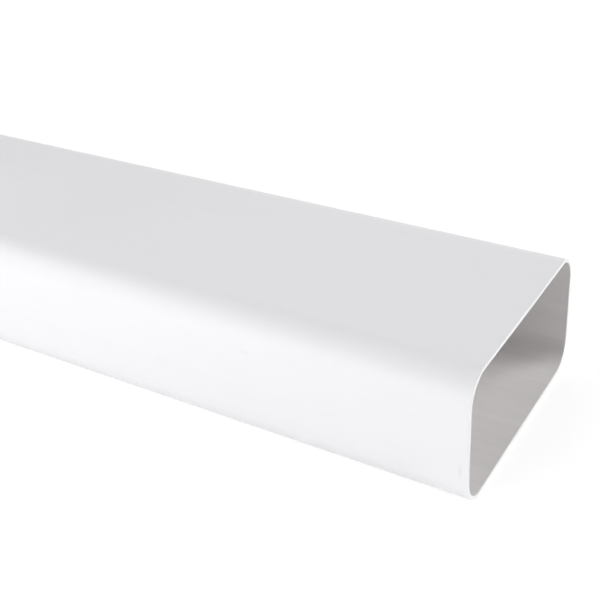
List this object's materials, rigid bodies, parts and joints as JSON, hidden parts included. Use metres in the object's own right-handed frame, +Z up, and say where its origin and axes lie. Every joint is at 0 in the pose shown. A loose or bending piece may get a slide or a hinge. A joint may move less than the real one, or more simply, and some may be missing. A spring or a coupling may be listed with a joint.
{
  "type": "flat channel duct",
  "caption": "Straight length of white plastic ventilation duct with a rounded rectangular section, open at both ends, that slips into flat channel connectors.",
  "frame": {"origin": "under the middle of the duct, on the surface that its wide side rests on", "axes": "+X along the duct's length, towards the end that the picture shows; +Y across its width; +Z up through its height"},
  "size_m": [1, 0.11, 0.054],
  "materials": {
    "white_pvc": "smooth extruded rigid PVC, white, satin sheen"
  },
  "bodies": {
    "root": {"duct": "white_pvc"}
  },
  "joints": []
}
